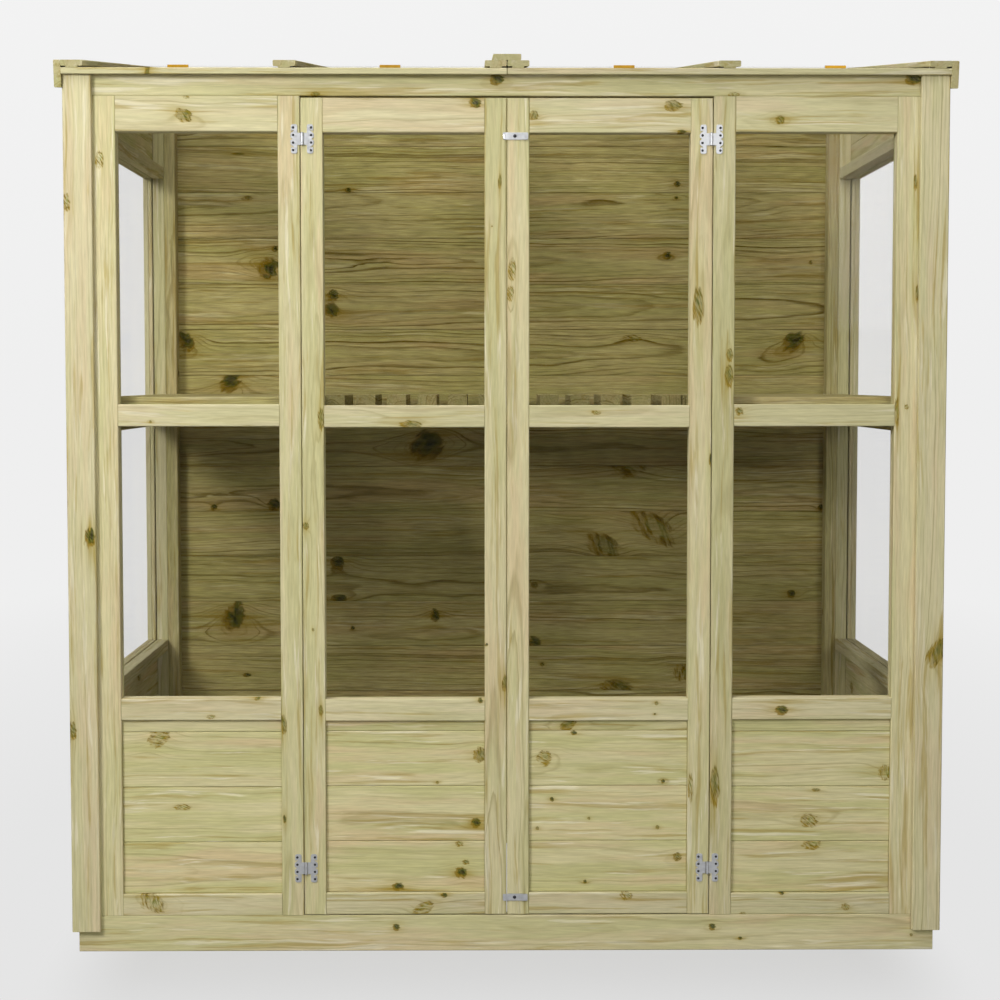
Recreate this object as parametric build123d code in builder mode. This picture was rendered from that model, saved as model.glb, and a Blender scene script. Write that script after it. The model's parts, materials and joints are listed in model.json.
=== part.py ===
"""Wooden wall greenhouse: pent roof, two doors between glazed panels, boarded back, slatted staging."""
import os
from math import ceil, cos, radians, sin, tan

from build123d import *

# Overall sizes, in millimetres
width = 1776.0            # over the boards of the two side walls
depth = 1022.0            # front face of the front wall to the back of the rear boards
eaves_height = 1805.0     # underside of the roof at the front face
roof_pitch = 7.8          # degrees, rising towards the wall behind

# Timber stock
timber_thick = 28.0
stile_width = 45.0
rail_width = 45.0
plinth_height = 75.0
strip_width = 58.0
strip_thick = 12.0
edge_ease = 1.5           # flat easing of every long edge
butt_gap = 0.2            # play left between pieces that meet end to end

# Tongue-and-groove boards
board_thick = 12.0
board_cover = 115.4
board_seam = 0.4
board_vee = 1.5
tongue_thick = 4.0
tongue_length = 6.0
groove_play = 0.3
board_least = 20.0        # no board is ripped narrower than this
board_foot = 8.0          # cut off the lowest front board, so that it fits on its bottom rail
board_recess = 8.0        # front boards behind the face of their frames
board_bottom = 44.0       # side and rear boards and the strips hang over the plinth to this height

# Glazing
pane_thick = 3.0
bead_width = 20.0
pane_play = 6.0           # a pane stops this far short of the outer edge of its bead

# Front wall
door_opening = 841.0      # between the middles of the two gaps at the hinges
door_gap = 1.5            # upright gap at the hinges and between the doors
door_drop = 2.0           # gap under a door
door_head_gap = 4.0       # gap over a door
sill_height = 484.0       # underside of the lower rail
mid_rail_height = 1091.0  # underside of the middle rail
top_rail_width = 72.0
head_plate_width = 43.0
corner_stile_width = 52.0

# Side walls and back
inner_rail_height = 28.0
back_stile_width = 28.0
back_stile_depth = 45.0

# Roof
eaves_overhang = 22.0
roof_side_clear = 0.5     # between the corner strips and the barge boards
roof_board_thick = 13.0
roof_bar_width = 45.0
roof_joint = 1.2          # between the two roof frames
spacer_width = 24.0
cap_thick = 12.0
batten_width = 57.0
batten_thick = 12.5
barge_thick = 14.0
barge_drop = 27.0         # how far a barge board hangs under the roof
stop_width = 42.0
stop_height = 5.5
stop_depth = 6.0
stop_setback = 1.0

# Staging
shelf_above_rail = 60.0   # top of the slats above the underside of the middle rail
slat_width = 45.0
slat_thick = 28.0
bearer_width = 24.0
bearer_height = 45.0
shelf_front_gap = 20.0    # front slat to the back of the front frames
shelf_end_gap = 2.0       # slats to the walls
rear_shelf_depth = 315.0
slat_overhang = 10.0
side_slats = 13
rear_slats = 12

# Hinges
hinge_above_plinth = 99.5
pin_inset = 4.2           # a hinge pin stands this far inside the middle of its gap
hinge_below_head = 87.0   # under the head plate
hinge_half_height = 29.5
hinge_half_width = 23.8
hinge_waist = 12.2        # half height of a leaf beside the barrel
wing_start = 9.8          # inner edge of a wing from the pin
wing_corner = 2.6
wing_slot_height = 16.0
wing_slot_depth = 6.6
wing_slot_width = 2.0
wing_notch_height = 3.2
wing_notch_depth = 4.2
leaf_thick = 1.6
barrel_radius = 3.0
barrel_clear = 0.3        # barrel to the front face
leaf_clear = 0.4          # leaf to the other leaf's knuckles
tongue_start = 0.8        # where a leaf runs into its own knuckle
knuckle_gap = 0.3
middle_knuckle = 10.0
pin_radius = 1.5
pin_play = 0.05
pin_head_radius = 2.4
pin_head_height = 1.0
screw_line = 18.2         # screws to the pin, across a leaf
screw_pitch = 15.2
screws_per_leaf = 4
screw_radius = 1.6
screw_play = 0.15
screw_length = 20.0
screw_point = 3.0
screw_head_radius = 2.7
screw_head_height = 1.2
pilot_spare = 1.0         # a pilot hole runs this far past the point of its screw

# Turn buttons
button_above_plinth = 38.0
button_below_head = 81.0  # under the head plate
button_pivot = 16.0       # to the right of the middle of the front
button_left = 24.3
button_right = 27.0
button_flat = 11.0        # half length of the part that lies against the door
button_ramp = 7.5
button_width = 14.4
button_thick = 1.5
button_rise = 2.0         # the two ends stand this far off the middle
button_clear = 0.4        # between the doors and the button
button_corner = 2.5
button_screw_radius = 2.0
button_screw_play = 0.08
button_head_radius = 3.6
button_head_height = 1.8
button_head_clear = 0.3
button_screw_length = 22.0  # point of the screw behind the front face

# Places worked out from the sizes
pitch = radians(roof_pitch)
roof_stack = roof_board_thick + pane_thick + cap_thick + batten_thick
roof_reach = eaves_overhang * cos(pitch) + roof_stack * sin(pitch)
face = -(depth - roof_reach) / 2            # front face of the front wall
inner_face = face + timber_thick            # back of the front frames
rear = face + depth                         # back of the rear boards
rear_frame = rear - board_thick             # back of the rear stiles
rear_inner = rear_frame - back_stile_depth  # front of the rear stiles
half_width = width / 2
side_frame = half_width - board_thick       # outside of the side frames
side_inner = side_frame - timber_thick      # inside of the side frames
strip_edge = half_width + strip_thick
panel_top = eaves_height - head_plate_width
window_head = panel_top - top_rail_width    # underside of the top rails
shelf_height = mid_rail_height + shelf_above_rail
hinge_heights = (plinth_height + hinge_above_plinth, panel_top - hinge_below_head)
button_heights = (plinth_height + button_above_plinth, panel_top - button_below_head)
pin_x = door_opening / 2 - pin_inset
panel_edge = door_opening / 2 + door_gap / 2
hung_edge = door_opening / 2 - door_gap / 2
meeting_edge = door_gap / 2
shelf_bottom = shelf_height - slat_thick
bearer_bottom = shelf_bottom - bearer_height
wall_top = eaves_height + depth * tan(pitch)
roof_plane = Plane(origin=(0, face, eaves_height), x_dir=(1, 0, 0), z_dir=(0, -sin(pitch), cos(pitch)))
wall_plane = Plane(origin=(0, rear, 0), x_dir=(1, 0, 0), z_dir=(0, 1, 0))
pin_y = face - barrel_radius - barrel_clear
screw_reach = screw_length - leaf_thick     # a hinge screw goes this deep into the timber
screw_offsets = [(i - (screws_per_leaf - 1) / 2) * screw_pitch for i in range(screws_per_leaf)]
rail_spans = [(low, low + rail_width) for low in (sill_height, mid_rail_height)]
window_spans = [(sill_height + rail_width, mid_rail_height), (mid_rail_height + rail_width, window_head)]
board_lap = rail_width - bead_width - butt_gap
pane_lap = bead_width - pane_play

os.makedirs("parts", exist_ok=True)


def timber(xs, ys, zs, base=Plane.XY):
    """Add a planed timber between the given limits, its long edges eased with a small flat."""
    spans = (xs[1] - xs[0], ys[1] - ys[0], zs[1] - zs[0])
    axis = spans.index(max(spans))
    start = [(limits[0] + limits[1]) / 2 for limits in (xs, ys, zs)]
    start[axis] = (xs, ys, zs)[axis][0]
    x_dir = ((0, 1, 0), (-1, 0, 0), (1, 0, 0))[axis]
    z_dir = ((1, 0, 0), (0, 1, 0), (0, 0, 1))[axis]
    wide = spans[1] if axis == 0 else spans[0]
    high = spans[1] if axis == 2 else spans[2]
    end = Plane(base.location * Plane(origin=start, x_dir=x_dir, z_dir=z_dir).location)
    with BuildSketch(end) as section:
        Rectangle(wide, high)
        chamfer(section.vertices(), length=min(edge_ease, wide / 4, high / 4))
    extrude(section.sketch, amount=spans[axis], clean=False)


def block(xs, ys, zs):
    """Add a square-edged piece between the given limits, on the plane of its part."""
    with Locations(((xs[0] + xs[1]) / 2, (ys[0] + ys[1]) / 2, (zs[0] + zs[1]) / 2)):
        Box(xs[1] - xs[0], ys[1] - ys[0], zs[1] - zs[0])


def boards(end, run, low, high, first):
    """Add boards from low to high, with seams a board's cover apart, counted from the height first."""
    start = low - (low - first) % board_cover
    if start + board_cover - low < board_least:
        start += board_cover
    count = max(1, ceil((high - start - board_least) / board_cover))
    inner = (board_thick - tongue_thick) / 2
    outer = inner + tongue_thick
    with BuildSketch(end) as section:
        for i in range(count):
            bottom = low if i == 0 else start + i * board_cover
            top = min(start + (i + 1) * board_cover - board_seam, high)
            points = [(board_vee, bottom), (0, bottom + board_vee), (0, top - board_vee), (board_vee, top)]
            if i < count - 1:
                tip = top + tongue_length
                points += [(inner, top), (inner, tip), (outer, tip), (outer, top)]
            points += [(board_thick - board_vee, top), (board_thick, top - board_vee)]
            points += [(board_thick, bottom + board_vee), (board_thick - board_vee, bottom)]
            if i > 0:
                ceiling = bottom + tongue_length + groove_play
                points += [(outer + groove_play, bottom), (outer + groove_play, ceiling)]
                points += [(inner - groove_play, ceiling), (inner - groove_play, bottom)]
            with BuildLine():
                Polyline(*points, close=True)
            make_face()
    extrude(section.sketch, amount=run, clean=False)


def cross_boards(xs, front, low, high, first):
    """Add boards that run from left to right, their front faces at the depth front."""
    end = Plane(origin=(xs[0], front, 0), x_dir=(0, 1, 0), z_dir=(1, 0, 0))
    boards(end, xs[1] - xs[0], low, high, first)


def side_boards(xs, ys, low, high):
    """Add boards that run from front to back."""
    end = Plane(origin=(xs[1], ys[0], 0), x_dir=(-1, 0, 0), z_dir=(0, 1, 0))
    boards(end, ys[1] - ys[0], low, high, board_bottom)


def screw_hole(x, z, radius, length):
    """Drill a pilot hole into the front face."""
    with Locations((x, face + length / 2, z)):
        Cylinder(radius, length, rotation=(90, 0, 0), mode=Mode.SUBTRACT)


def screw(x, seat, z, head_radius, head_height, radius, length):
    """Add a round-headed screw, its head seated at the depth seat and its point towards the back."""
    with BuildSketch(Plane(origin=(x, seat, z))) as section:
        with BuildLine():
            TangentArc((0, -head_height), (head_radius, 0), tangent=(1, 0))
            shank = [(head_radius, 0), (radius, 0), (radius, length - screw_point), (0, length)]
            Polyline(*shank, (0, -head_height))
        make_face()
    revolve(section.sketch, axis=Axis((x, seat, z), (0, 1, 0)))


def mirrored(left, limits):
    """Return a pair of X limits, on the left or the right of the middle."""
    return (-limits[1], -limits[0]) if left else limits


def finish(piece, name):
    """Name a finished piece and write it."""
    piece.part.label = name
    export_step(piece.part, f"parts/{name}.step")


# Plinth: four boards on edge
with BuildPart() as plinth_front:
    timber((-half_width, half_width), (face, inner_face), (0, plinth_height))
finish(plinth_front, "plinth_front")

with BuildPart() as plinth_sides:
    for left in (True, False):
        timber(mirrored(left, (side_inner, side_frame)), (inner_face, rear_frame), (0, plinth_height))
finish(plinth_sides, "plinth_sides")

with BuildPart() as plinth_rear:
    timber((-side_inner, side_inner), (rear_frame - timber_thick, rear_frame), (0, plinth_height))
finish(plinth_rear, "plinth_rear")

# Head plate over the doors and panels, its top cut to the slope of the roof
with BuildPart() as front_head_plate:
    timber((-side_inner, side_inner), (face, inner_face), (panel_top, eaves_height + timber_thick))
    split(bisect_by=roof_plane, keep=Keep.BOTTOM)
finish(front_head_plate, "front_head_plate")


def front_frame(name, left, edges, opening, upright, lower, screw_x):
    """Make the stiles, rails and boards of one frame of the front wall."""
    frame_depth = (face, inner_face)
    bottom, top = upright
    with BuildPart() as stiles:
        timber(mirrored(left, (edges[0], opening[0])), frame_depth, upright)
        timber(mirrored(left, (opening[1], edges[1])), frame_depth, upright)
        hole_x = -screw_x if left else screw_x
        for height in hinge_heights:
            for offset in screw_offsets:
                screw_hole(hole_x, height + offset, screw_radius + screw_play, screw_reach + pilot_spare)
        if name == "right_door":
            pilot = button_screw_radius + screw_play
            for height in button_heights:
                screw_hole(button_pivot, height, pilot, button_screw_length + pilot_spare)
    finish(stiles, f"{name}_stiles")

    with BuildPart() as rails:
        timber(mirrored(left, opening), frame_depth, (bottom, bottom + rail_width))
        for low, high in rail_spans:
            timber(mirrored(left, opening), frame_depth, (low - lower, high - lower))
        timber(mirrored(left, opening), frame_depth, (window_head - lower, top))
    finish(rails, f"{name}_rails")

    with BuildPart() as infill:
        clear = (opening[0] + butt_gap, opening[1] - butt_gap)
        foot = bottom + rail_width + butt_gap
        head = sill_height - lower - butt_gap
        cross_boards(mirrored(left, clear), face + board_recess, foot, head, foot - board_foot)
    finish(infill, f"{name}_boards")


def front_panes(left, opening, lower):
    """Add the two panes of one front frame, lapping its back."""
    lapped = (opening[0] - pane_lap, opening[1] + pane_lap)
    for low, high in window_spans:
        upright = (low - lower - pane_lap, high - lower + pane_lap)
        block(mirrored(left, lapped), (inner_face, inner_face + pane_thick), upright)


def front_beads(left, opening, lower):
    """Add the beads that hold the two panes of one front frame from behind."""
    bead_depth = (inner_face + pane_thick, inner_face + board_thick)
    for low, high in window_spans:
        upright = (low - lower, high - lower)
        for limits in ((opening[0] - bead_width, opening[0]), (opening[1], opening[1] + bead_width)):
            timber(mirrored(left, limits), bead_depth, upright)
        whole = (opening[0] - bead_width, opening[1] + bead_width)
        timber(mirrored(left, whole), bead_depth, (upright[0] - bead_width, upright[0] - butt_gap))
        timber(mirrored(left, whole), bead_depth, (upright[1] + butt_gap, upright[1] + bead_width))


# Front wall: a fixed panel at each end and a pair of doors between them
panel_opening = (panel_edge + stile_width, side_inner - corner_stile_width)
door_opening_x = (meeting_edge + stile_width, hung_edge - stile_width)
for side, left in (("left", True), ("right", False)):
    panel_limits = (panel_edge, side_inner)
    panel_height = (plinth_height, panel_top)
    panel_screws = pin_x + screw_line
    front_frame(f"{side}_panel", left, panel_limits, panel_opening, panel_height, 0, panel_screws)
    door_limits = (meeting_edge, hung_edge)
    door_height = (plinth_height + door_drop, panel_top - door_head_gap)
    door_screws = pin_x - screw_line
    front_frame(f"{side}_door", left, door_limits, door_opening_x, door_height, door_drop, door_screws)
    with BuildPart() as door_panes:
        front_panes(left, door_opening_x, door_drop)
    finish(door_panes, f"{side}_door_panes")
    with BuildPart() as door_beads:
        front_beads(left, door_opening_x, door_drop)
    finish(door_beads, f"{side}_door_beads")

with BuildPart() as panel_panes:
    for left in (True, False):
        front_panes(left, panel_opening, 0)
finish(panel_panes, "panel_panes")

with BuildPart() as panel_beads:
    for left in (True, False):
        front_beads(left, panel_opening, 0)
finish(panel_beads, "panel_beads")

# Side walls: frames inside, boards and panes on their outer faces
side_opening = (face + stile_width, rear_frame - stile_width)
bead_layer = (side_frame + pane_thick, half_width)
board_layer = (side_frame, half_width)
for side, left in (("left", True), ("right", False)):
    frame_layer = mirrored(left, (side_inner, side_frame))
    with BuildPart() as side_stiles:
        timber(frame_layer, (face, side_opening[0]), (plinth_height, wall_top))
        timber(frame_layer, (side_opening[1], rear_frame), (plinth_height, wall_top))
        split(bisect_by=roof_plane, keep=Keep.BOTTOM)
    finish(side_stiles, f"{side}_side_stiles")

    with BuildPart() as side_rails:
        timber(frame_layer, side_opening, (plinth_height, plinth_height + inner_rail_height))
        sill_top = sill_height + rail_width
        timber(frame_layer, side_opening, (sill_top - inner_rail_height, sill_top))
        timber(frame_layer, side_opening, rail_spans[1])
        timber(frame_layer, side_opening, (window_head, window_head + inner_rail_height))
    finish(side_rails, f"{side}_side_rails")

    with BuildPart() as side_cladding:
        layer = mirrored(left, board_layer)
        side_boards(layer, (inner_face, rear_frame), board_bottom, sill_height + board_lap)
        side_boards(layer, (inner_face, rear_frame), window_head + bead_width + butt_gap, wall_top)
        split(bisect_by=roof_plane, keep=Keep.BOTTOM)
    finish(side_cladding, f"{side}_side_boards")

with BuildPart() as side_panes:
    for left in (True, False):
        for low, high in window_spans:
            lapped = (side_opening[0] - pane_lap, side_opening[1] + pane_lap)
            layer = mirrored(left, (side_frame, side_frame + pane_thick))
            block(layer, lapped, (low - pane_lap, high + pane_lap))
finish(side_panes, "side_panes")

with BuildPart() as side_beads:
    for left in (True, False):
        layer = mirrored(left, bead_layer)
        for low, high in window_spans:
            timber(layer, (side_opening[0] - bead_width, side_opening[0]), (low, high))
            timber(layer, (side_opening[1], side_opening[1] + bead_width), (low, high))
            whole = (side_opening[0] - bead_width, side_opening[1] + bead_width)
            timber(layer, whole, (low - bead_width, low - butt_gap))
            timber(layer, whole, (high + butt_gap, high + bead_width))
finish(side_beads, "side_beads")

# Cover strips: over the corners, and along the rails of the side walls
strip_layer = (half_width, strip_edge)
with BuildPart() as front_corner_strips:
    for left in (True, False):
        limits = mirrored(left, (strip_edge - strip_width, strip_edge))
        timber(limits, (face - strip_thick, face), (board_bottom, eaves_height + strip_thick))
    split(bisect_by=roof_plane, keep=Keep.BOTTOM)
finish(front_corner_strips, "front_corner_strips")

with BuildPart() as side_corner_strips:
    for left in (True, False):
        for limits in ((face, face + strip_width), (rear - strip_width, rear)):
            timber(mirrored(left, strip_layer), limits, (board_bottom, wall_top))
    split(bisect_by=roof_plane, keep=Keep.BOTTOM)
finish(side_corner_strips, "side_corner_strips")

with BuildPart() as side_rail_strips:
    for left in (True, False):
        for low in (sill_height, mid_rail_height, window_head):
            limits = (face + strip_width + butt_gap, rear - strip_width - butt_gap)
            timber(mirrored(left, strip_layer), limits, (low, low + rail_width))
finish(side_rail_strips, "side_rail_strips")

# Back wall: boards from side to side on three stiles
with BuildPart() as back_stiles:
    for middle in (back_stile_width / 2 - side_inner, 0, side_inner - back_stile_width / 2):
        limits = (middle - back_stile_width / 2, middle + back_stile_width / 2)
        timber(limits, (rear_inner, rear_frame), (plinth_height, wall_top))
    split(bisect_by=roof_plane, keep=Keep.BOTTOM)
finish(back_stiles, "back_stiles")

with BuildPart() as back_rails:
    back_top = eaves_height + (rear_inner - face) * tan(pitch)
    for left in (True, False):
        limits = mirrored(left, (back_stile_width / 2, side_inner - back_stile_width))
        for low in (plinth_height, back_top - inner_rail_height):
            timber(limits, (rear_inner, rear_frame), (low, low + inner_rail_height))
finish(back_rails, "back_rails")

with BuildPart() as back_cladding:
    cross_boards((-half_width, half_width), rear_frame, board_bottom, wall_top, board_bottom)
    split(bisect_by=roof_plane, keep=Keep.BOTTOM)
finish(back_cladding, "back_boards")

# Roof: two flat frames side by side, with panes held down by capped bars
roof_half = strip_edge + roof_side_clear
roof_front = -eaves_overhang
roof_back = depth / cos(pitch)
roof_ends = (roof_front, roof_back)
bar_middles = (roof_bar_width / 2, roof_half / 2, roof_half - roof_bar_width / 2)
cap_bottom = roof_board_thick + pane_thick
cap_top = cap_bottom + cap_thick


def around(middle, size):
    """Return the limits of a piece of the given size about its middle."""
    return (middle - size / 2, middle + size / 2)


def bar_limits(left, middle, size):
    """Return the X limits of a piece on one bar, clear of the joint between the two roof frames."""
    low, high = around(middle, size)
    return mirrored(left, (max(low, roof_joint / 2), high))


with BuildPart() as roof_rails:
    for left in (True, False):
        for start in (roof_front, roof_back - roof_bar_width):
            limits = mirrored(left, (roof_joint / 2, roof_half))
            timber(limits, (start, start + roof_bar_width), (0, roof_board_thick), roof_plane)
finish(roof_rails, "roof_rails")

with BuildPart() as roof_bars:
    between = (roof_front + roof_bar_width, roof_back - roof_bar_width)
    for left in (True, False):
        for middle in bar_middles:
            timber(bar_limits(left, middle, roof_bar_width), between, (0, roof_board_thick), roof_plane)
finish(roof_bars, "roof_bars")

with BuildPart(roof_plane) as roof_spacers:
    for left in (True, False):
        for middle in bar_middles:
            block(bar_limits(left, middle, spacer_width), roof_ends, (roof_board_thick, cap_bottom))
finish(roof_spacers, "roof_spacers")

with BuildPart() as roof_caps:
    for left in (True, False):
        for middle in bar_middles:
            timber(bar_limits(left, middle, roof_bar_width), roof_ends, (cap_bottom, cap_top), roof_plane)
finish(roof_caps, "roof_caps")

pane_front = roof_front + stop_setback + stop_depth + butt_gap
bays = list(zip(bar_middles, bar_middles[1:]))
with BuildPart(roof_plane) as roof_panes:
    for left in (True, False):
        for inner_bar, outer_bar in bays:
            limits = (inner_bar + spacer_width / 2 + butt_gap, outer_bar - spacer_width / 2 - butt_gap)
            block(mirrored(left, limits), (pane_front, roof_back), (roof_board_thick, cap_bottom))
finish(roof_panes, "roof_panes")

with BuildPart(roof_plane) as glazing_stops:
    for left in (True, False):
        for inner_bar, outer_bar in bays:
            limits = mirrored(left, around((inner_bar + outer_bar) / 2, stop_width))
            front = roof_front + stop_setback
            block(limits, (front, front + stop_depth), (roof_board_thick, roof_board_thick + stop_height))
finish(glazing_stops, "glazing_stops")

with BuildPart() as roof_centre_batten:
    timber(around(0, batten_width), roof_ends, (cap_top, cap_top + batten_thick), roof_plane)
finish(roof_centre_batten, "roof_centre_batten")

with BuildPart() as barge_boards:
    for left in (True, False):
        limits = mirrored(left, (roof_half, roof_half + barge_thick))
        timber(limits, (roof_front, roof_back + barge_drop), (-barge_drop, cap_top), roof_plane)
    split(bisect_by=wall_plane, keep=Keep.BOTTOM)
finish(barge_boards, "barge_boards")

# Staging: slats on bearers along both sides and the back
rear_bearer_front = rear_inner - bearer_width
rear_shelf_front = rear_inner - rear_shelf_depth
bearer_span = (inner_face, rear_bearer_front - butt_gap)
bearer_level = (bearer_bottom, shelf_bottom)
slat_level = (shelf_bottom, shelf_height)
with BuildPart() as shelf_bearers:
    timber((-side_inner, side_inner), (rear_bearer_front, rear_inner), bearer_level)
    for left in (True, False):
        timber(mirrored(left, (side_inner - bearer_width, side_inner)), bearer_span, bearer_level)
        timber(mirrored(left, (panel_edge, panel_edge + bearer_width)), bearer_span, bearer_level)
    cross_front = rear_shelf_front + slat_overhang
    cross_end = panel_edge - butt_gap
    timber((-cross_end, cross_end), (cross_front, cross_front + bearer_width), bearer_level)
finish(shelf_bearers, "shelf_bearers")

for side, left in (("left", True), ("right", False)):
    with BuildPart() as shelf_slats:
        front = inner_face + shelf_front_gap
        step = (rear_inner - shelf_end_gap - slat_width - front) / (side_slats - 1)
        for i in range(side_slats):
            limits = (panel_edge + shelf_end_gap, side_inner - shelf_end_gap)
            timber(mirrored(left, limits), (front + i * step, front + i * step + slat_width), slat_level)
    finish(shelf_slats, f"{side}_shelf_slats")

with BuildPart() as rear_shelf_slats:
    step = (2 * panel_edge - slat_width) / (rear_slats - 1)
    for i in range(rear_slats):
        limits = (i * step - panel_edge, i * step - panel_edge + slat_width)
        timber(limits, (rear_shelf_front, rear_inner - shelf_end_gap), slat_level)
finish(rear_shelf_slats, "rear_shelf_slats")


# Hinges: pressed butterfly leaves on the face of the frames, with a loose pin
def leaf_outline():
    """Return the outline of a leaf, from the pin outwards, as points of its upper and lower halves."""
    inner = barrel_radius + leaf_clear
    outer = hinge_half_width
    wing = outer - wing_corner / 2
    upper = [
        (inner, hinge_waist),
        (wing_start, hinge_waist),
        (wing_start, hinge_half_height - wing_corner),
        (wing_start + wing_corner, hinge_half_height),
        (wing - wing_corner, hinge_half_height),
        (wing, hinge_half_height - wing_corner),
        (wing, wing_slot_height),
        (outer - wing_slot_depth, wing_slot_height + wing_slot_width),
        (outer - wing_slot_depth, wing_slot_height),
        (wing, wing_slot_height - 2 * wing_slot_width),
        (outer, wing_slot_height - 2 * wing_slot_width - wing_corner),
        (outer, wing_notch_height),
        (outer - wing_notch_depth, wing_notch_height / 4),
    ]
    return upper + [(x, -z) for x, z in reversed(upper)]


def leaf(pin, outward, height, knuckles):
    """Add a leaf that lies outward of the pin, with knuckles at the given heights about its middle."""
    flat = Plane(origin=(pin, face, height), x_dir=(outward, 0, 0), z_dir=(0, -1, 0))
    with BuildSketch(flat) as section:
        with BuildLine():
            Polyline(*leaf_outline(), close=True)
        make_face()
        for low, high in knuckles:
            with Locations(((tongue_start + barrel_radius + 2 * leaf_clear) / 2, (low + high) / 2)):
                Rectangle(barrel_radius + 2 * leaf_clear - tongue_start, high - low)
        for offset in screw_offsets:
            with Locations((screw_line, offset)):
                Circle(screw_radius + screw_play, mode=Mode.SUBTRACT)
    extrude(section.sketch, amount=leaf_thick)
    for low, high in knuckles:
        with Locations((pin, pin_y, height + (low + high) / 2)):
            Cylinder(barrel_radius, high - low)
            Cylinder(pin_radius + pin_play, high - low, mode=Mode.SUBTRACT)


middle_half = middle_knuckle / 2
door_knuckles = [(-middle_half, middle_half)]
frame_knuckles = [(-hinge_waist, -middle_half - knuckle_gap), (middle_half + knuckle_gap, hinge_waist)]
hinge_seat = face - leaf_thick
hinge_screw = (screw_head_radius, screw_head_height, screw_radius, screw_length)

with BuildPart() as hinge_frame_leaves:
    for outward in (-1, 1):
        for height in hinge_heights:
            leaf(outward * pin_x, outward, height, frame_knuckles)
finish(hinge_frame_leaves, "hinge_frame_leaves")

with BuildPart() as hinge_pins:
    for outward in (-1, 1):
        for height in hinge_heights:
            with Locations((outward * pin_x, pin_y, height)):
                Cylinder(pin_radius, 2 * hinge_waist + 2 * pin_play)
            for end in (-1, 1):
                head = height + end * (hinge_waist + pin_play + pin_head_height / 2)
                with Locations((outward * pin_x, pin_y, head)):
                    Cylinder(pin_head_radius, pin_head_height)
finish(hinge_pins, "hinge_pins")

with BuildPart() as hinge_frame_screws:
    for outward in (-1, 1):
        for height in hinge_heights:
            for offset in screw_offsets:
                screw(outward * (pin_x + screw_line), hinge_seat, height + offset, *hinge_screw)
finish(hinge_frame_screws, "hinge_frame_screws")

for side, outward in (("left", -1), ("right", 1)):
    with BuildPart() as door_leaves:
        for height in hinge_heights:
            leaf(outward * pin_x, -outward, height, door_knuckles)
    finish(door_leaves, f"{side}_door_hinge_leaves")

    with BuildPart() as door_screws:
        for height in hinge_heights:
            for offset in screw_offsets:
                screw(outward * (pin_x - screw_line), hinge_seat, height + offset, *hinge_screw)
    finish(door_screws, f"{side}_door_hinge_screws")

# Turn buttons: pressed strips that pivot on a screw in the right door and lap over the left door
button_back = face - button_clear
for name, height in zip(("low", "high"), button_heights):
    with BuildPart() as turn_button:
        with BuildSketch(Plane.XY.offset(height - button_width / 2)) as profile:
            back = [
                (-button_left, -button_rise),
                (-button_flat - button_ramp, -button_rise),
                (-button_flat, 0),
                (button_flat, 0),
                (button_flat + button_ramp, -button_rise),
                (button_right, -button_rise),
            ]
            front = [(x, y - button_thick) for x, y in reversed(back)]
            with BuildLine():
                Polyline(*[(button_pivot + x, button_back + y) for x, y in back + front], close=True)
            make_face()
        extrude(amount=button_width)
        fillet(turn_button.edges().filter_by(Axis.Y), radius=button_corner)
        with Locations((button_pivot, button_back, height)):
            pivot_hole = button_screw_radius + button_screw_play
            Cylinder(pivot_hole, 4 * button_thick, rotation=(90, 0, 0), mode=Mode.SUBTRACT)
    finish(turn_button, f"{name}_turn_button")

button_seat = button_back - button_thick - button_head_clear
button_screw = (button_head_radius, button_head_height, button_screw_radius)
with BuildPart() as turn_button_screws:
    for height in button_heights:
        screw(button_pivot, button_seat, height, *button_screw, face + button_screw_length - button_seat)
finish(turn_button_screws, "turn_button_screws")
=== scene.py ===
# %% [markdown]
# # Wooden wall greenhouse
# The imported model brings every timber, pane and fitting with its true size and place. This lesson dresses
# it: each timber gets a clean mesh with rounded edges and its own piece of a tree, the panes become glass,
# the fittings become plated steel, and a studio is set up around the whole.

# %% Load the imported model
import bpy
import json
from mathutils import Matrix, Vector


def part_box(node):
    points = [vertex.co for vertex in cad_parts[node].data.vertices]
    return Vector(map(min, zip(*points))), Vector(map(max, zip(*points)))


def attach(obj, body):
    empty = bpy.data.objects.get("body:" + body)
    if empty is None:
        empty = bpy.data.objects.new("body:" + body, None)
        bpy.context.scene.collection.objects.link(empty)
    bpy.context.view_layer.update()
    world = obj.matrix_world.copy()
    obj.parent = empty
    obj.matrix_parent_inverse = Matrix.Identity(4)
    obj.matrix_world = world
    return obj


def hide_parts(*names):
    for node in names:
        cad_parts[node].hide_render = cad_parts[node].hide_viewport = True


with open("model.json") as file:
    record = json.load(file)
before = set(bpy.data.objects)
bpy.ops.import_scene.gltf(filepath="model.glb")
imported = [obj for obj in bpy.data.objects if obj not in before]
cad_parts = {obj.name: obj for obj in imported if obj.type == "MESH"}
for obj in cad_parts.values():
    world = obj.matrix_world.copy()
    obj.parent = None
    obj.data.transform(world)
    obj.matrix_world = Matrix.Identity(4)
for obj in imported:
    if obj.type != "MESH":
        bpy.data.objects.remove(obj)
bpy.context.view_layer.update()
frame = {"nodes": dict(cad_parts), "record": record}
nodes = frame["nodes"]

# %% [markdown]
# ## Sorting the pieces
# The record says which finish each piece has. Reading it here keeps the scene and the record in step, and
# saves writing fifty names by hand.

# %% Sort the nodes by finish
import json
from math import degrees, radians

import bmesh
import bpy
import numpy as np
from mathutils import Euler, Matrix, Vector

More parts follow.
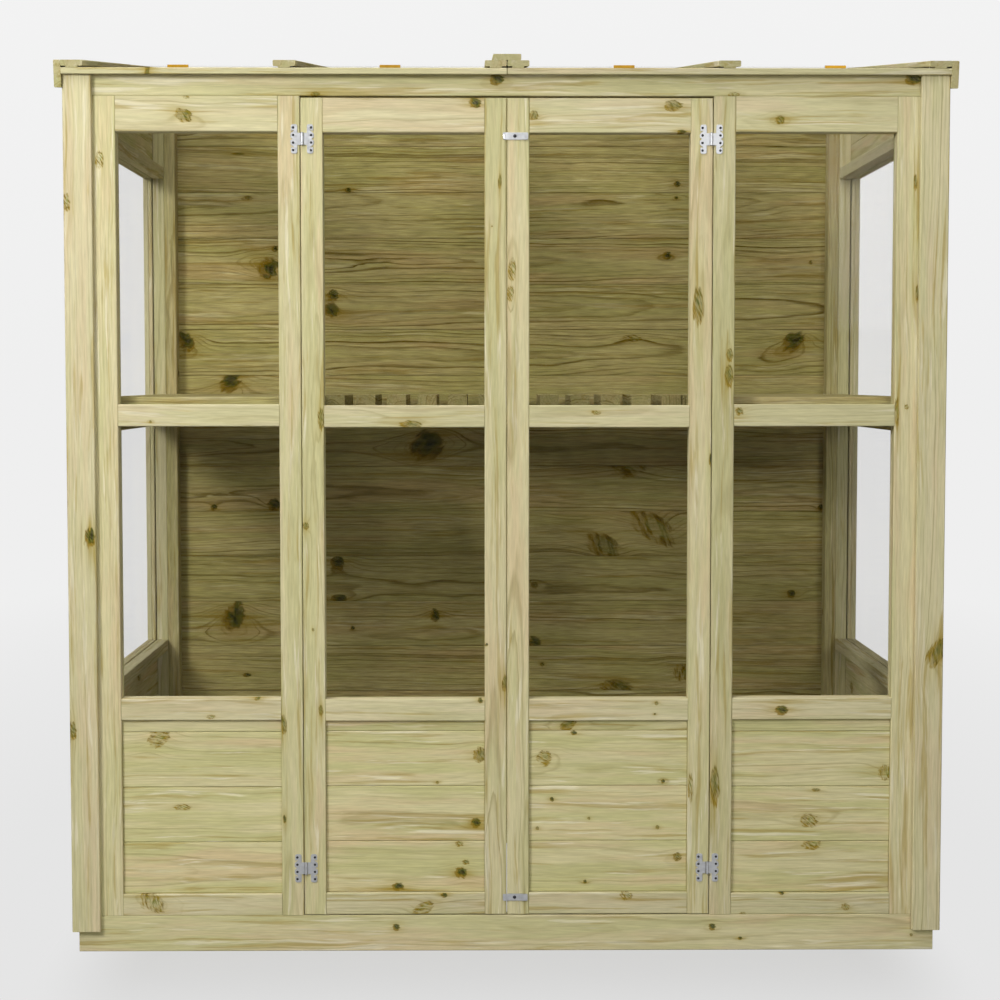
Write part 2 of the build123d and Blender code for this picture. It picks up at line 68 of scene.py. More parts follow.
finish_of = {part["node"]: part["material_slot"] for part in frame["record"]["subparts"]}
bodies = frame["record"]["behaviour"]["bodies"]
body_of = {node: body for body, members in bodies.items() for node in members}
pine_nodes = sorted(node for node in nodes if finish_of[node] == "treated_pine")
print("pine:", len(pine_nodes), "other finishes:", sorted(set(finish_of.values()) - {"treated_pine"}))

# %% [markdown]
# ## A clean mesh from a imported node
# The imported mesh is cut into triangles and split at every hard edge, so light can't run round an edge.
# Welding the corners and joining the flat triangles gives the shape back as a joiner would draw it. A
# planed timber has its edges broken with a pass of the plane, so each hard edge then gets a small round.
# A bevel modifier could do that too, but the boards have to be told apart afterwards, and that needs a mesh.

# %% Weld, flatten and round
weld = 0.00001
flat_enough = radians(0.4)
hard_edge = radians(25)


def clean_mesh(node, ease, shortest):
    """Return a node's mesh with hard edges longer than shortest rounded by ease, all in metres."""
    shape = bmesh.new()
    shape.from_mesh(nodes[node].data)
    bmesh.ops.remove_doubles(shape, verts=shape.verts, dist=weld)
    bmesh.ops.dissolve_limit(shape, angle_limit=flat_enough, verts=shape.verts, edges=shape.edges)
    hard = [
        edge for edge in shape.edges
        if edge.is_manifold and edge.calc_face_angle() > hard_edge and edge.calc_length() > shortest
    ]
    bmesh.ops.bevel(
        shape, geom=hard, offset=ease, offset_type="OFFSET", segments=2, profile=0.5,
        affect="EDGES", clamp_overlap=True,
    )
    bmesh.ops.recalc_face_normals(shape, faces=shape.faces)
    shape.verts.index_update()
    return shape


def add_piece(shape, node, suffix):
    """Turn a mesh into a piece that stands for a node and rides its body."""
    mesh = bpy.data.meshes.new(node + suffix)
    shape.to_mesh(mesh)
    shape.free()
    mesh.shade_smooth()
    piece = bpy.data.objects.new(node + suffix, mesh)
    bpy.context.scene.collection.objects.link(piece)
    even = piece.modifiers.new("even_shading", "WEIGHTED_NORMAL")
    even.weight = 80
    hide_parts(node)
    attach(piece, body_of[node])
    return piece


def dress(piece, material):
    """Give a piece one material and no other."""
    piece.data.materials.clear()
    piece.data.materials.append(material)


print("edges harder than", round(degrees(hard_edge)), "degrees are rounded")

# %% [markdown]
# ## Telling the boards apart
# Every board was sawn from its own place in a tree, so no two may share their grain. The boards of one
# node are the loose islands of its mesh. For each island we note where its grain runs: along its longest
# side. A point's place in its own board, as length, width and thickness, is stored on the mesh, and the
# pine material reads it there. That is why the grain turns with every rail and stile.

# %% Find the boards and measure them
roof_slope = radians(7.8)
level_roof = np.array(Matrix.Rotation(-roof_slope, 3, "X"))
roof_nodes = [node for node in pine_nodes if node.startswith(("roof_", "barge_"))]


def find_boards(shape):
    """List the loose islands of a mesh, each as the numbers of its vertices."""
    seen, found = set(), []
    for start in shape.verts:
        if start.index in seen:
            continue
        island, edge_of_island = [], [start]
        seen.add(start.index)
        while edge_of_island:
            vertex = edge_of_island.pop()
            island.append(vertex.index)
            for edge in vertex.link_edges:
                other = edge.other_vert(vertex)
                if other.index not in seen:
                    seen.add(other.index)
                    edge_of_island.append(other)
        found.append(np.array(sorted(island)))
    return found


def measure_board(points):
    """Return a board's middle, half sizes and axes, longest first."""
    low, high = points.min(0), points.max(0)
    half = (high - low) / 2
    axes = np.argsort(-half, kind="stable")
    return (low + high) / 2, half, axes


print("roof pieces measured on the slope:", roof_nodes)

# %% [markdown]
# ## Knots
# A knot is a branch that the trunk grew around. The ones that can be seen on the real greenhouse were read
# from its picture, which is 1000 pixels wide and high: place across and down, half width and half height in
# pixels, slant in degrees. They are sorted by how much they stand out from the wood around them: dark ones
# are dead branches, amber ones were alive, and faint ones only just reach the face. All other boards get a
# few knots of their own from a seeded draw, so that the same boards come out at every run. A board has room
# for four, dark ones first.

# %% Knots seen on the front and on the back boards
front_knots_seen = {
    "dark": [
        (496.6, 79.5, 6, 5, 0), (913, 79.5, 7, 5, 0), (475, 102.6, 6, 5, 0), (681.8, 131.6, 4, 1.5, 0),
        (710.5, 460, 1.6, 6, 0), (91, 537.5, 5, 9, 0), (486.6, 644.8, 1.5, 1.5, 0),
        (480.2, 701, 2.2, 1.8, 0), (781.6, 710.5, 6, 4.5, 0), (655, 714, 1, 1, 0), (574, 733.6, 3, 2, 0),
        (663.4, 782, 1.9, 1.9, 0), (551.8, 800, 1.8, 1.8, 0), (284.4, 819, 1.5, 4, 0),
        (475.9, 823.9, 4.6, 4.6, 0), (460.7, 873.3, 6, 5.5, 30), (585, 882.5, 1.7, 1.7, 0),
        (397.8, 887.6, 6, 4, 0), (781.6, 893.2, 2.2, 1.8, 0), (444, 895.3, 3, 2, 0),
        (712, 926.7, 3.3, 3.3, 0), (396.2, 927.2, 3.3, 3.3, 0), (740, 938.3, 2, 1.6, 0),
    ],
    "amber": [
        (315, 94, 4, 2, 0), (673, 105.8, 7.5, 5, 0), (183.6, 114.6, 8, 5.5, 20), (533.5, 115.4, 4, 4.5, 30),
        (780, 120, 4.5, 4.5, 0), (499.8, 181.5, 1.6, 7, 0), (915.5, 182.3, 2, 8, 0),
        (491.8, 226, 0.8, 0.8, 0), (917, 294, 1.5, 9, 0), (698.2, 305.3, 5, 17, 0), (729.6, 355, 3, 6, 0),
        (728.8, 376.2, 4, 10, 0), (739, 411.3, 4, 4, 0), (320.9, 419.3, 3, 10, 0),
        (150.4, 421.7, 1.3, 1.3, 0), (410.5, 425, 10, 4, 0), (305.6, 526.3, 3, 3.4, 0),
        (313, 630, 1.2, 1.5, 0), (935.5, 651.5, 7, 15, 25), (504.6, 683.4, 2.5, 8, 0),
        (257, 699, 2.5, 1.5, 0), (656.3, 703.3, 1.8, 1.8, 0), (320.8, 710.5, 2, 5, 0),
        (283.6, 724.8, 3, 9, 0), (567.8, 725.6, 8, 5, -35), (73, 731, 4.5, 9, 0), (479.9, 755.3, 6, 7, 20),
        (437.3, 783.2, 1.4, 1.4, 0), (714.4, 787, 4.5, 18, 0), (307.7, 788.8, 5, 14, 20),
        (816.7, 790.7, 4, 1.5, 0), (589.3, 819, 1.4, 1.4, 0), (657.8, 828, 1.7, 1.7, 0),
        (537.5, 829, 1.6, 1.6, 0), (677.8, 858, 4, 4, 0), (465.5, 863, 3.5, 2.5, 0),
        (911.2, 934.8, 1.6, 1.6, 0), (270.5, 936, 1.4, 1.4, 0), (419.8, 939, 2, 1.6, 0),
        (98.6, 939.4, 2, 1.5, 0),
    ],
    "faint": [
        (160, 69, 8, 2.5, 0), (733.6, 94.6, 5, 2, 0), (186, 97, 3, 1.2, 0), (99.4, 160, 4, 8, 0),
        (66.7, 204, 4.5, 9, 0), (512, 270, 4, 9, 0), (510.4, 293, 3.5, 7, 0), (906.8, 407.3, 2, 2.5, 0),
        (595.7, 413, 5, 2, 0), (897.2, 413.7, 2, 16, 0), (211, 717, 4, 2, 0), (158.4, 739, 10, 8, -35),
        (544.6, 758.5, 7, 7, -30), (886, 772.8, 6, 7, 20), (560.6, 784.8, 8, 2, 0), (690.5, 787, 2.5, 13, 0),
        (182.3, 808, 8, 3, 0), (809.5, 821.5, 8, 6, 0), (459, 844.6, 4, 3, 0), (812.7, 844.6, 9, 5, 0),
        (373.9, 873.3, 5, 4, 0), (626, 895.6, 6, 4, 0), (152, 902, 12, 8, 35), (845.4, 906.8, 4, 3, 30),
        (423.3, 908.4, 10, 5, -25), (742.5, 914, 3, 2, 0), (851, 919.5, 10, 5, -20),
        (538.3, 920.3, 10, 5, -20), (209.4, 921, 8, 5, 20),
    ],
}
back_knots_seen = {
    "dark": [
        (677, 184, 3, 3, 0), (347.9, 190.3, 3, 2.5, 0), (676.2, 197.8, 1.6, 1.6, 0), (274.8, 249, 3, 3, 0),
        (667, 255.7, 4, 3.6, 0), (268.4, 268.4, 9, 10, 30), (332.4, 295.5, 5, 5, 0), (330, 310, 7, 6, 25),
        (187, 342, 6, 10, -35), (793.6, 342, 11, 8, -35), (230, 383.4, 10, 8, -35),
        (426.5, 445.6, 15, 13, -35), (274, 506, 6, 6, 0), (214, 507.8, 3, 3, 0), (820.7, 507.8, 2.6, 2.6, 0),
        (337.2, 563, 6, 6, 0), (791, 594, 3.6, 3.6, 0), (338.8, 598.9, 7, 4, 0), (435.2, 615.6, 4, 6, 0),
        (234, 616.4, 9, 14, 25), (352.8, 628, 2, 2, 0), (534.3, 642, 6, 5, 0), (247, 675, 4, 2, 0),
    ],
    "amber": [
        (238, 154, 6, 1.5, 0), (247.7, 197.5, 2.5, 2, 0), (810.6, 262.5, 1.6, 2, 0),
        (603.6, 546, 17, 11, 35), (534.3, 585.3, 3, 3, 0), (585.3, 601, 8, 2, 0), (542.3, 664.2, 2, 2, 0),
        (616.4, 686.5, 14, 7, 0),
    ],
    "faint": [
        (413.7, 252.5, 1.2, 1.2, 0), (632, 338.8, 10, 3.5, 0), (627.6, 469.5, 16, 8, 0),
        (653, 527, 24, 12, 35), (675.4, 616, 7, 4, 0), (683, 672, 8, 8, 30),
    ],
}
front_nodes = [
    node for node in pine_nodes
    if node.startswith(("plinth_front", "front_", "left_panel", "right_panel", "left_door", "right_door"))
    and not node.endswith("beads")
]
knots_per_board = 4
knot_strength = {"dark": 0.95, "amber": 0.5, "faint": 0.12}
for wall, knots in (("front", front_knots_seen), ("back", back_knots_seen)):
    print("listed knots on the", wall, {kind: len(spots) for kind, spots in knots.items()})

# %% [markdown]
# A line of sight from the camera through a pixel meets the wall in one point. That point is the knot's place,
# and the length of the line gives its size. So the camera's place is needed here, long before the camera.

# %% From the picture to the wall
picture_width = 1000
sensor_width, lens = 36, 72.94
camera_place = Vector((-0.0514, -4.6541, 1.1841))
looking_down, looking_right = radians(3.365), radians(0.513)
camera_turn = Euler((radians(90) - looking_down, 0, -looking_right))
pixels_per_unit = picture_width * lens / sensor_width


def on_wall(across, down, wall):
    """Return where a pixel lies on a wall, across and up, and the length it covers there, in metres."""
    off_middle = Vector((across - picture_width / 2, picture_width / 2 - down, -pixels_per_unit))
    sight = camera_turn.to_matrix() @ (off_middle / pixels_per_unit)
    reach = (wall - camera_place.y) / sight.y
    spot = camera_place + reach * sight
    return spot.x, spot.z, reach / pixels_per_unit


def measured(knots, wall):
    """Turn knots read from the picture into places and half sizes in metres, and slants in radians."""
    walled = {kind: [] for kind in knots}
    for kind, spots in knots.items():
        for across, down, wide, high, slant in spots:
            x, z, pixel = on_wall(across, down, wall)
            walled[kind].append((x, z, wide * pixel, high * pixel, radians(slant)))
    return walled


front_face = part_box("left_door_stiles")[0][1]
back_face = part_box("back_boards")[0][1]
front_knots = measured(front_knots_seen, front_face)
back_knots = measured(back_knots_seen, back_face)
pixel_on_front = on_wall(picture_width / 2, picture_width / 2, front_face)[2]
print("a pixel covers", round(pixel_on_front * 1000, 2), "mm on the front")

# %% [markdown]
# ## One piece of the tree for each board
# A log is a stack of cones around its pith. A board sawn beside the pith shows straight lines, one sawn
# above it shows pointed arches. So each board draws where its pith runs, and the material works out the
# rings from that. The draw also gives each board its tone: treated pine goes from pinkish to green.

# %% Lay out the boards
draw = np.random.default_rng(20)
knots_per_two_metres, least_knots = 1.5, 0.15
widest_counted = 0.055  # a knot grows with its board up to this half width
smallest_knot = 0.001
board_round, timber_round, shortest_rounded = 0.0005, 0.00025, 0.002


def listed_knots(knots, owners, number, middle, axes):
    """Return the listed knots that lie on a board whose wide side faces the camera."""
    along, across, through = axes
    found = []
    if through != 1:
        return found
    for kind, spots in knots.items():
        for place, (x, z, wide, high, slant) in enumerate(spots):
            if owners[kind][place] == number:
                offset, size = np.array([x, 0, z]) - middle, (wide, 0, high)
                spot = (offset[along], offset[across], slant if along == 0 else -slant)
                found.append((*spot, size[along], size[across], knot_strength[kind]))
    return found


def drawn_knots(half, axes):
    """Draw a few knots for a board that the list doesn't cover."""
    length, width = half[axes[0]], half[axes[1]]
    count = min(knots_per_board, draw.poisson(knots_per_two_metres * length + least_knots))
    found = []
    for _ in range(count):
        radius = draw.uniform(0.10, 0.28) * min(width, widest_counted)
        spot = (draw.uniform(-0.92, 0.92) * length, draw.uniform(-0.9, 0.9) * width)
        length_of_knot = radius * draw.uniform(1.1, 1.9) + smallest_knot
        turn = draw.uniform(-0.5, 0.5)
        strength = draw.uniform(0.1, 0.95)
        found.append((*spot, turn, length_of_knot, radius + smallest_knot, strength))
    return found


boards, shapes = [], {}
for node in pine_nodes:
    shape = clean_mesh(node, board_round if node.endswith("boards") else timber_round, shortest_rounded)
    shapes[node] = shape
    points = np.array([vertex.co for vertex in shape.verts])
    if node in roof_nodes:
        points = points @ level_roof.T
    for island in find_boards(shape):
        middle, half, axes = measure_board(points[island])
        boards.append((node, island, points[island], middle, half, axes))
print("boards and timbers:", len(boards))

# %% [markdown]
# A listed knot belongs to the board that shows there: of all boards behind that spot, the foremost.

# %% Give each listed knot to its board
no_board = -1


def owners_of(knots, allowed):
    """Return, for each kind of knot, the numbers of the foremost boards at their places, or no_board."""
    owners = {kind: [] for kind in knots}
    for kind, spots in knots.items():
        for x, z, *_ in spots:
            best, nearest = no_board, float("inf")
            for number, (node, _, _, middle, half, _) in enumerate(boards):
                inside = abs(x - middle[0]) <= half[0] and abs(z - middle[2]) <= half[2]
                face = middle[1] - half[1]
                if node in allowed and inside and face < nearest:
                    best, nearest = number, face
            owners[kind].append(best)
    return owners


front_owners = owners_of(front_knots, front_nodes)
back_owners = owners_of(back_knots, ["back_boards"])
for owners in (front_owners, back_owners):
    held = {kind: sum(number != no_board for number in numbers) for kind, numbers in owners.items()}
    print("knots with a board:", held)

# %% [markdown]
# Each board now writes what the material needs: the place in the board, the pith and a seed, the tone, the
# half length for the dark ends, how much painted shade it takes and how pale it is, and the place and size of
# each knot. Timbers inside the greenhouse get painted shade, a darker and browner colour with bolder grain,
# and rails and strips are paler than boards. A board with fewer than four knots gets the rest so far away
# that they don't show.

# %% Write the grain
layers = {node: {} for node in pine_nodes}
# painted shade for the timbers inside, which also draws their grain bolder
inside_shade_and_bold_grain = {node: 0.8 for node in pine_nodes if "shelf" in node}
inside_shade_and_bold_grain.update({"back_boards": 1.0, "back_stiles": 0.7, "back_rails": 0.7})
paleness = {"rails": 0.4, "strips": 0.4, "boards": 0.0}
paleness_of_others = 0.2
flat_sawn_share = 0.55
seed_step = 0.37
no_knot = (9.0, 9.0, 0.0, 0.001, 0.001, 0.0)


def store(node, layer, island, values):
    """Keep one vector per vertex of a board in a named layer."""
    whole = layers[node].setdefault(layer, np.zeros((len(shapes[node].verts), 3)))
    whole[island] = values


for number, (node, island, points, middle, half, axes) in enumerate(boards):
    store(node, "grain", island, (points - middle)[:, axes])
    flat_sawn = draw.random() < flat_sawn_share
    side = draw.choice((-1, 1))
    width, depth = half[axes[1]], half[axes[2]]
    if flat_sawn:
        pith_across = draw.uniform(-0.7, 0.7) * width
        pith_through = side * (depth + draw.uniform(0.012, 0.05))
    else:
        pith_across = side * (width + draw.uniform(0.02, 0.07))
        pith_through = draw.uniform(-0.03, 0.03)
    store(node, "log", island, (pith_across, pith_through, number * seed_step % 1))
    store(node, "tone", island, (draw.normal(0, 0.5), draw.normal(0, 0.5), draw.uniform(0.8, 1.3)))
    pale = paleness.get(node.split("_")[-1], paleness_of_others)
    store(node, "board", island, (half[axes[0]], inside_shade_and_bold_grain.get(node, 0), pale))
    if node in front_nodes:
        knots = listed_knots(front_knots, front_owners, number, middle, axes)
    elif node == "back_boards":
        knots = listed_knots(back_knots, back_owners, number, middle, axes)
    else:
        knots = drawn_knots(half, axes)
    for place in range(knots_per_board):
        knot = knots[place] if place < len(knots) else no_knot
        store(node, f"knot_place_{place}", island, knot[:3])
        store(node, f"knot_size_{place}", island, knot[3:])

pine_pieces = []
for node in pine_nodes:
    piece = add_piece(shapes[node], node, "_planed")
    for layer, values in layers[node].items():
        made = piece.data.attributes.new(layer, "FLOAT_VECTOR", "POINT")
        made.data.foreach_set("vector", values.astype(np.float32).ravel())
    pine_pieces.append(piece)
print("pine pieces:", len(pine_pieces), "vertices:", sum(len(piece.data.vertices) for piece in pine_pieces))

# %% [markdown]
# ## Helpers for materials
# Colours are written as the hex values that a colour picker shows, and Blender's shaders want them linear,
# so one function turns them. One adds a node with its settings and its links in one line, and one starts a
# material with nothing but its output. Where a node has several sockets of one name, they are given by
# number. In a range, 0 is the value, 1 and 2 are the span it comes from, 3 and 4 the span it goes to. In a
# mix, 0 is the share, and what is mixed goes to 2 and 3 if it is numbers, to 4 and 5 if it is vectors, and to
# 6 and 7 if it is colours.

# %% Colour and node helpers


def colour(hex_value):
    """Turn an sRGB hex value into a linear colour."""
    parts = [int(hex_value[i:i + 2], 16) / 255 for i in (1, 3, 5)]
    return (*[p / 12.92 if p <= 0.04045 else ((p + 0.055) / 1.055) ** 2.4 for p in parts], 1)


def add(tree, kind, inputs=(), **settings):
    """Add a node: settings are its properties, inputs its values, sockets or the nodes that feed it."""
    node = tree.nodes.new(kind if kind.startswith("NodeGroup") else "ShaderNode" + kind)
    for name, value in settings.items():
        setattr(node, name, value)
    for place, value in (inputs.items() if isinstance(inputs, dict) else enumerate(inputs)):
        if isinstance(value, bpy.types.Node):
            value = next(socket for socket in value.outputs if socket.enabled)
        if isinstance(value, bpy.types.NodeSocket):
            tree.links.new(value, node.inputs[place])
        elif value is not None:
            node.inputs[place].default_value = value
    return node


def new_material(name):
    """Return a fresh material, its node tree and its output."""
    material = bpy.data.materials.new(name)
    material.use_nodes = True
    material.node_tree.nodes.clear()
    return material, material.node_tree, add(material.node_tree, "OutputMaterial")


print("pale sapwood in linear values:", [round(v, 3) for v in colour("#D3CA9C")])

# %% [markdown]
# ## One knot as a node group
# Around a branch the rings bulge out, so their lines run round the knot in ovals. The group measures how
# far a point lies from the knot, counted in knot radii. It gives the bulge, to be taken off the ring radius,
# the distance and the turned place, which colour the knot, and a halo for the resin around it. A picture of
# a knot would be quicker, but this way the grain really flows around it.

# %% Build the knot group
bulge_reach = (0.36, 0.62, 1)  # the bulge fades within about 3 radii along the grain and 2 across it
faintest_halo = 0.35
knot_group = bpy.data.node_groups.new("knot in pine", "ShaderNodeTree")
for socket in ("Grain", "Place", "Size"):
    knot_group.interface.new_socket(socket, in_out="INPUT", socket_type="NodeSocketVector")
for socket in ("Bulge", "Distance", "Dark", "Halo"):
    knot_group.interface.new_socket(socket, in_out="OUTPUT", socket_type="NodeSocketFloat")
knot_group.interface.new_socket("Turned", in_out="OUTPUT", socket_type="NodeSocketVector")
given = add(knot_group, "NodeGroupInput")
place = add(knot_group, "SeparateXYZ", (given.outputs["Place"],))
size = add(knot_group, "SeparateXYZ", (given.outputs["Size"],))
offset = add(knot_group, "VectorMath", (given.outputs["Grain"], given.outputs["Place"]), operation="SUBTRACT")
flat = add(knot_group, "VectorMath", (offset, (1, 1, 0)), operation="MULTIPLY")
turning = {"Vector": flat, "Angle": place.outputs["Z"]}
turned = add(knot_group, "VectorRotate", turning, rotation_type="Z_AXIS")
radii = add(knot_group, "CombineXYZ", (size.outputs["X"], size.outputs["Y"], 1.0))
scaled = add(knot_group, "VectorMath", (turned, radii), operation="DIVIDE")
distance = add(knot_group, "VectorMath", (scaled,), operation="LENGTH")
stretched = add(knot_group, "VectorMath", (scaled, bulge_reach), operation="MULTIPLY")
reach = add(knot_group, "VectorMath", (stretched, stretched), operation="DOT_PRODUCT")
falling = add(knot_group, "Math", (reach.outputs["Value"], -1.0), operation="MULTIPLY")
bell = add(knot_group, "Math", (falling,), operation="EXPONENT")
bulge = add(knot_group, "Math", (bell, size.outputs["Y"]), operation="MULTIPLY")
halo_strength = add(knot_group, "MapRange", {0: size.outputs["Z"], 3: faintest_halo, 4: 1.0})
halo = add(knot_group, "Math", (bell, halo_strength), operation="MULTIPLY")
given_back = add(knot_group, "NodeGroupOutput")
results = {
    "Bulge": bulge.outputs[0], "Distance": distance.outputs["Value"], "Dark": size.outputs["Z"],
    "Halo": halo.outputs[0], "Turned": scaled.outputs[0],
}
for socket, value in results.items():
    knot_group.links.new(value, given_back.inputs[socket])
print("knot group nodes:", len(knot_group.nodes))

# %% [markdown]
# ## Pressure-treated pine: where the rings run
# The timber is planed pine, pressure treated with a copper salt that leaves it yellow green. First come the
# rings. A ring radius is the distance from the pith; a slow noise lets the trunk wander, a taper makes the
# arches, and the knots push the rings out. Rings of pine are 2 to 6 mm wide. A pixel of the picture covers
# 2 mm, so the mean ring is drawn 8 mm wide, coarser than life, to stay visible.

# %% Ring radius
pine, tree, pine_output = new_material("pressure-treated pine, planed")
ring_width = 0.008
taper = 0.012
seed_spread = 60.0
grain = add(tree, "Attribute", attribute_name="grain").outputs["Vector"]
log = add(tree, "SeparateXYZ", (add(tree, "Attribute", attribute_name="log").outputs["Vector"],))
tone = add(tree, "SeparateXYZ", (add(tree, "Attribute", attribute_name="tone").outputs["Vector"],))
board = add(tree, "SeparateXYZ", (add(tree, "Attribute", attribute_name="board").outputs["Vector"],))
seed = add(tree, "Math", (log.outputs["Z"], seed_spread), operation="MULTIPLY")


def grain_pattern(place, length, width, detail):
    """Add a noise that differs from board to board, its marks as long and wide as given in millimetres."""
    per_metre = (1000 / length, 1000 / width, 1000 / width)
    spot = add(tree, "VectorMath", (place, per_metre), operation="MULTIPLY")
    settings = {"Vector": spot, "W": seed, "Scale": 1.0, "Detail": detail, "Roughness": 0.55}
    return add(tree, "TexNoise", settings, noise_dimensions="4D")


def moved(place, source, amount):
    """Move a place by a noise's colour, by up to half of the amounts in metres each way."""
    about = add(tree, "VectorMath", (source.outputs["Color"], (0.5, 0.5, 0.5)), operation="SUBTRACT")
    shift = add(tree, "VectorMath", (about, amount), operation="MULTIPLY")
    return add(tree, "VectorMath", (place, shift), operation="ADD")


ripple_amount, wander_amount = (0.004, 0.0034, 0.0034), (0, 0.036, 0.036)
ripple = grain_pattern(grain, 66.7, 8.33, 2.0)
rippled = moved(grain, ripple, ripple_amount)
wander = grain_pattern(grain, 476, 111, 2.0)
warped = moved(rippled, wander, wander_amount)
pith = add(tree, "CombineXYZ", (0.0, log.outputs["X"], log.outputs["Y"]))
from_pith = add(tree, "VectorMath", (warped, pith), operation="SUBTRACT")
across_log = add(tree, "VectorMath", (from_pith, (0, 1, 1)), operation="MULTIPLY")
radius = add(tree, "VectorMath", (across_log,), operation="LENGTH")
along = add(tree, "SeparateXYZ", (grain,))
cone = add(tree, "Math", (along.outputs["X"], taper, radius.outputs["Value"]), operation="MULTIPLY_ADD")
print("mean ring:", ring_width * 1000, "mm, taper:", taper * 1000, "mm per metre")

# %% [markdown]
# The knots come in one after the other: each takes its bulge off the radius, and the nearest one is kept.

# %% Let the knots push the rings
pushed, nearest = cone, None
for number in range(knots_per_board):
    knot = add(tree, "Group", node_tree=knot_group)
    spot = add(tree, "Attribute", attribute_name=f"knot_place_{number}").outputs["Vector"]
    extent = add(tree, "Attribute", attribute_name=f"knot_size_{number}").outputs["Vector"]
    for socket, value in (("Grain", rippled.outputs[0]), ("Place", spot), ("Size", extent)):
        tree.links.new(value, knot.inputs[socket])
    pushed = add(tree, "Math", (pushed, knot.outputs["Bulge"]), operation="SUBTRACT")
    found = [knot.outputs[name] for name in ("Distance", "Dark", "Turned", "Halo")]
    if nearest:
        closer = add(tree, "Math", (found[0], nearest[0]), operation="LESS_THAN")
        found = [
            add(tree, "Math", (found[0], nearest[0]), operation="MINIMUM"),
            add(tree, "Mix", {0: closer, 2: nearest[1], 3: found[1]}, data_type="FLOAT"),
            add(tree, "Mix", {0: closer, 4: nearest[2], 5: found[2]}, data_type="VECTOR"),
            add(tree, "Math", (found[3], nearest[3]), operation="MAXIMUM"),
        ]
    nearest = found
knot_distance, knot_dark, knot_place, knot_halo = nearest
print("knots per board:", knots_per_board)

# %% [markdown]
# ## Pressure-treated pine: rings, fibres and colour
# Within a ring the wood goes from pale spring wood to a thin dark summer line and stops there at once. Some
# years are strong and most are faint, and a line fades and comes back along the board. A wave texture would
# make every year the same, so the rings are counted out from the pith and each year draws its own strength.

# %% Rings
smooth = {"interpolation_type": "SMOOTHSTEP"}
wander_of_years = 2.6
dark_from, dark_until = 0.55, 0.93
counted = add(tree, "Math", (pushed, ring_width), operation="DIVIDE")
uneven = add(tree, "TexNoise", {"W": counted, "Scale": 0.45, "Detail": 1.0}, noise_dimensions="1D")
uneven_about = add(tree, "Math", (uneven.outputs["Fac"], 0.5), operation="SUBTRACT")
years = add(tree, "Math", (uneven_about, wander_of_years, counted), operation="MULTIPLY_ADD")
within = add(tree, "Math", (years,), operation="FRACT")
summer = add(tree, "MapRange", {0: within, 1: dark_from, 2: dark_until}, **smooth)
ended = add(tree, "MapRange", {0: within, 1: dark_until, 2: 1.0, 3: 1.0, 4: 0.0})
line = add(tree, "Math", (summer, ended), operation="MULTIPLY")
year = add(tree, "Math", (years,), operation="FLOOR")
chance = add(tree, "TexWhiteNoise", {"W": year}, noise_dimensions="1D")
strong = add(tree, "Math", (chance.outputs["Value"], 2.2), operation="POWER")
faintest = add(tree, "MapRange", {0: board.outputs["Y"], 3: 0.16, 4: 0.38})
firm = add(tree, "MapRange", {0: strong, 1: 0.0, 2: 1.0, 3: faintest, 4: 1.0})
coming_back = grain_pattern(warped, 625, 45.5, 2.0)
fading = add(tree, "MapRange", {0: coming_back, 1: 0.34, 2: 0.62, 3: 0.35, 4: 1.0})
firm_line = add(tree, "Math", (line, firm), operation="MULTIPLY")
ring = add(tree, "Math", (firm_line, fading), operation="MULTIPLY")
print("the wood darkens over the last", round(1 - dark_from, 2), "of a ring")

# %% [markdown]
# Over the rings lie fibres, drawn 3 mm wide because the real ones can't be seen at this size, amber streaks
# and pale flecks as wide as a finger, and clouds of pink heartwood and green salt. Each is a noise stretched
# along the grain. A picture of wood would come back on the next board, and these marks don't.

# %% Fibres, streaks, flecks and clouds
fibre_width, streak_width, fleck_width, cloud_width = 2.78, 10.5, 12.5, 33.3
fibre = grain_pattern(rippled, 45.5, fibre_width, 3.0)
streak = grain_pattern(warped, 357, streak_width, 5.0)
fleck = grain_pattern(warped, 250, fleck_width, 5.0)
cloud = grain_pattern(warped, 385, cloud_width, 4.0)
clouds = add(tree, "SeparateColor", (cloud.outputs["Color"],))
print("widths in mm: fibre", fibre_width, "streak", streak_width, "fleck", fleck_width, "cloud", cloud_width)

# %% [markdown]
# The colours are mixed from the wood outwards: sapwood, pink heartwood, green salt, pale flecks, the greyer
# tint of rails and strips, the summer lines and amber streaks. Fibres and streaks then make it lighter or
# darker. The tone of a board shifts it towards pink or green, and makes it lighter or darker as a whole.

# %% Colour of clear wood
wood_colours = {
    "sapwood": "#D3CA9C", "heartwood": "#D1BF93", "salt": "#C6C18B", "fleck": "#E8E1C2",
    "rail": "#C9C0A3", "summer line": "#7A6722", "streak": "#AE9850",
}
wood = {name: colour(value) for name, value in wood_colours.items()}
tone_shift, tone_light = 0.035, 0.045
pink_share = add(tree, "Math", (tone.outputs["X"], tone_shift, clouds.outputs[0]), operation="MULTIPLY_ADD")
pink_mask = add(tree, "MapRange", {0: pink_share, 1: 0.44, 2: 0.64}, **smooth)
green_share = add(tree, "Math", (tone.outputs["X"], -tone_shift, clouds.outputs[1]), operation="MULTIPLY_ADD")
green_mask = add(tree, "MapRange", {0: green_share, 1: 0.42, 2: 0.62}, **smooth)
pale_mask = add(tree, "MapRange", {0: fleck.outputs["Fac"], 1: 0.57, 2: 0.65, 4: 0.68}, **smooth)
warm = add(tree, "Mix", {0: pink_mask, 6: wood["sapwood"], 7: wood["heartwood"]}, data_type="RGBA")
green = add(tree, "Mix", {0: green_mask, 6: warm, 7: wood["salt"]}, data_type="RGBA")
flecked = add(tree, "Mix", {0: pale_mask, 6: green, 7: wood["fleck"]}, data_type="RGBA")
pale = add(tree, "Mix", {0: board.outputs["Z"], 6: flecked, 7: wood["rail"]}, data_type="RGBA")
ring_depth = add(tree, "Math", (ring, tone.outputs["Z"]), operation="MULTIPLY")
bold = add(tree, "MapRange", {0: board.outputs["Y"], 3: 0.42, 4: 1.0})
